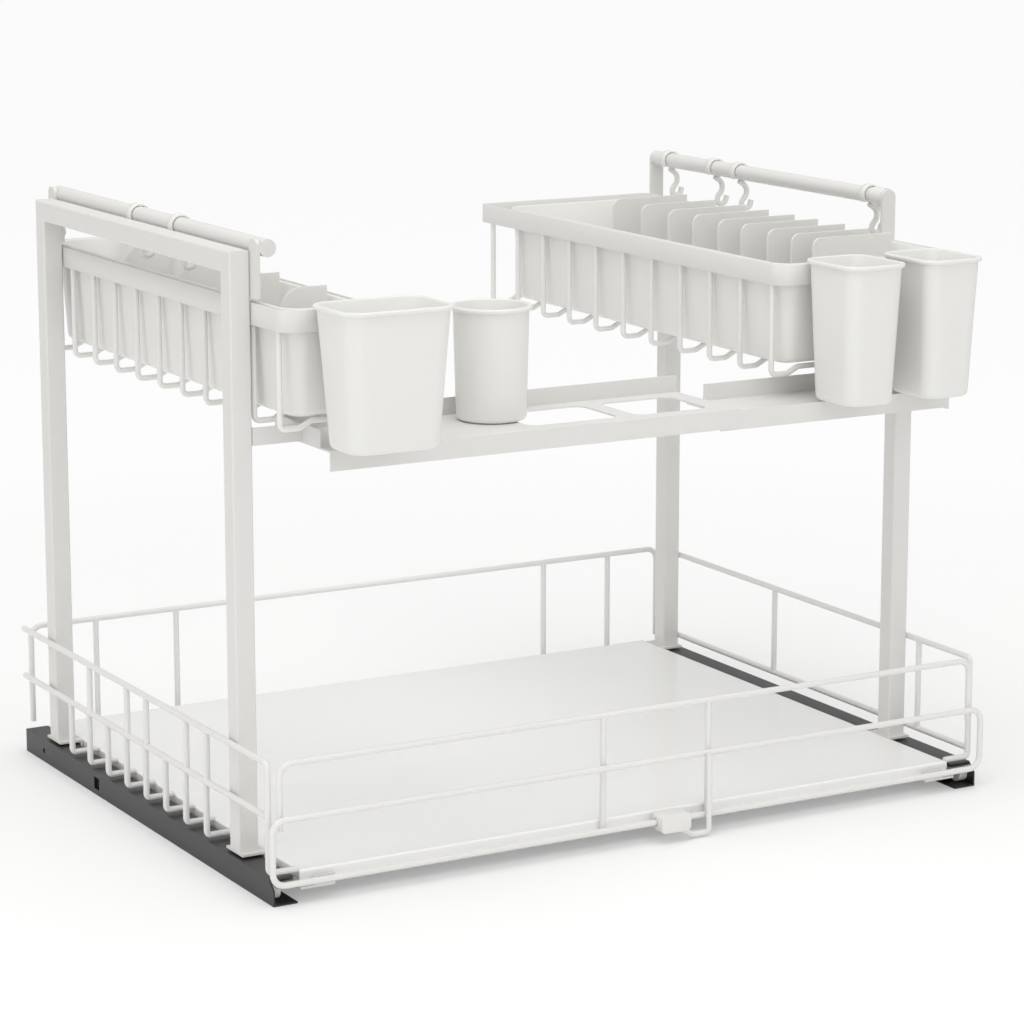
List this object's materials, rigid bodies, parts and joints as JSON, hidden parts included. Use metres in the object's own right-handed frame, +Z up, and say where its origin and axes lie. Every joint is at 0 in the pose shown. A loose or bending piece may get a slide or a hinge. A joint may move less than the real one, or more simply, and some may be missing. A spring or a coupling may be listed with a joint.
{
  "type": "under sink organizer",
  "caption": "Low pull-out wire drawer on two floor rails, with tube gates at the sides that carry a basket and bin each, hook bars, hanging cups and a bridge shelf.",
  "frame": {"origin": "on the cabinet floor, in the middle of the four floor screw holes of the rails", "axes": "+X to the right across the rails, +Y to the back of the cabinet, +Z up; the drawer comes out along -Y"},
  "size_m": [0.6031, 0.5204, 0.4423],
  "materials": {
    "white_steel": "powder coat",
    "rail_black": "satin",
    "zinc_steel": "zinc plated",
    "white_plastic": "smooth",
    "roller_plastic": "smooth",
    "black_plastic": "matt"
  },
  "bodies": {
    "root": {"slide_rail_left": "rail_black", "slide_rail_right": "rail_black", "rail_bumper_left": "black_plastic", "rail_bumper_right": "black_plastic", "axle_front_left": "zinc_steel", "axle_front_right": "zinc_steel"},
    "drawer": {"floor_panel": "white_steel", "gate_left": "white_steel", "gate_right": "white_steel", "gate_feet_left": "white_steel", "gate_feet_right": "white_steel", "front_bracket_left": "white_steel", "front_bracket_right": "white_steel", "front_fence_lower": "white_steel", "front_fence_upper": "white_steel", "left_fence_lower": "white_steel", "left_fence_upper": "white_steel", "right_fence": "white_steel", "back_fence": "white_steel", "basket_left": "white_steel", "basket_right": "white_steel", "hook_arms_left": "white_steel", "hook_arms_right": "white_steel", "hook_rod_left": "white_steel", "hook_rod_right": "white_steel", "shelf_left": "white_steel", "shelf_right": "white_steel", "shelf_bracket_left": "white_steel", "shelf_bracket_right": "white_steel", "pull_wire": "white_steel", "screw_heads": "white_steel", "runner_left": "zinc_steel", "runner_right": "zinc_steel", "rod_collar": "white_plastic", "pull_tab": "white_plastic", "axle_back_left": "zinc_steel", "axle_back_right": "zinc_steel"},
    "roller_front_left": {"roller_front_left": "roller_plastic"},
    "roller_back_left": {"roller_back_left": "roller_plastic"},
    "roller_front_right": {"roller_front_right": "roller_plastic"},
    "roller_back_right": {"roller_back_right": "roller_plastic"},
    "bin_left": {"bin_left": "white_plastic"},
    "bin_right": {"bin_right": "white_plastic"},
    "dividers_left": {"dividers_left": "white_plastic"},
    "dividers_right": {"dividers_right": "white_plastic"},
    "cup_left": {"cup_left": "white_plastic"},
    "cup_right_inner": {"cup_right_inner": "white_plastic"},
    "cup_right_outer": {"cup_right_outer": "white_plastic"},
    "cup_round": {"cup_round": "white_plastic"},
    "hook_right_1": {"hook_right_1": "white_plastic"},
    "hook_right_2": {"hook_right_2": "white_plastic"},
    "hook_right_3": {"hook_right_3": "white_plastic"},
    "hook_right_4": {"hook_right_4": "white_plastic"},
    "hook_left_1": {"hook_left_1": "white_plastic"},
    "hook_left_2": {"hook_left_2": "white_plastic"}
  },
  "joints": [
    {"name": "drawer_slide", "type": "slide", "parent": "root", "child": "drawer", "axis": [0, -1, 0], "range_m": [0, 0.3]},
    {"name": "roller_front_left_turn", "type": "hinge", "parent": "root", "child": "roller_front_left", "pos_m": [-0.2848, -0.207, 0.0079], "axis": [1, 0, 0], "continuous": true},
    {"name": "roller_back_left_turn", "type": "hinge", "parent": "drawer", "child": "roller_back_left", "pos_m": [-0.2848, 0.1973, 0.0076], "axis": [1, 0, 0], "continuous": true},
    {"name": "roller_front_right_turn", "type": "hinge", "parent": "root", "child": "roller_front_right", "pos_m": [0.2848, -0.207, 0.0079], "axis": [1, 0, 0], "continuous": true},
    {"name": "roller_back_right_turn", "type": "hinge", "parent": "drawer", "child": "roller_back_right", "pos_m": [0.2848, 0.1973, 0.0076], "axis": [1, 0, 0], "continuous": true},
    {"name": "bin_left_lift", "type": "slide", "parent": "drawer", "child": "bin_left", "axis": [0, 0, 1], "range_m": [0, 0.01]},
    {"name": "bin_right_lift", "type": "slide", "parent": "drawer", "child": "bin_right", "axis": [0, 0, 1], "range_m": [0, 0.09]},
    {"name": "dividers_left_lift", "type": "slide", "parent": "bin_left", "child": "dividers_left", "axis": [0, 0, 1], "range_m": [0, 0.09]},
    {"name": "dividers_right_lift", "type": "slide", "parent": "bin_right", "child": "dividers_right", "axis": [0, 0, 1], "range_m": [0, 0.09]},
    {"name": "cup_left_lift", "type": "slide", "parent": "drawer", "child": "cup_left", "axis": [0, 0, 1], "range_m": [0, 0.05]},
    {"name": "cup_right_inner_lift", "type": "slide", "parent": "drawer", "child": "cup_right_inner", "axis": [0, 0, 1], "range_m": [0, 0.05]},
    {"name": "cup_right_outer_lift", "type": "slide", "parent": "drawer", "child": "cup_right_outer", "axis": [0, 0, 1], "range_m": [0, 0.05]},
    {"name": "cup_round_lift", "type": "slide", "parent": "drawer", "child": "cup_round", "axis": [0, 0, 1], "range_m": [0, 0.1]},
    {"name": "hook_right_1_swing", "type": "hinge", "parent": "drawer", "child": "hook_right_1", "pos_m": [0.2947, 0.22232, 0.427], "axis": [0, 1, 0], "range_deg": [-80, 12]},
    {"name": "hook_right_2_swing", "type": "hinge", "parent": "drawer", "child": "hook_right_2", "pos_m": [0.2947, 0.15344, 0.427], "axis": [0, 1, 0], "range_deg": [-80, 12]},
    {"name": "hook_right_3_swing", "type": "hinge", "parent": "drawer", "child": "hook_right_3", "pos_m": [0.2947, 0.11736, 0.427], "axis": [0, 1, 0], "range_deg": [-80, 12]},
    {"name": "hook_right_4_swing", "type": "hinge", "parent": "drawer", "child": "hook_right_4", "pos_m": [0.2947, -0.06304, 0.427], "axis": [0, 1, 0], "range_deg": [-80, 12]},
    {"name": "hook_left_1_swing", "type": "hinge", "parent": "drawer", "child": "hook_left_1", "pos_m": [-0.2632, 0.0424, 0.434], "axis": [0, 1, 0], "range_deg": [-75, 0]},
    {"name": "hook_left_2_swing", "type": "hinge", "parent": "drawer", "child": "hook_left_2", "pos_m": [-0.2632, -0.02888, 0.434], "axis": [0, 1, 0], "range_deg": [-75, 0]}
  ]
}
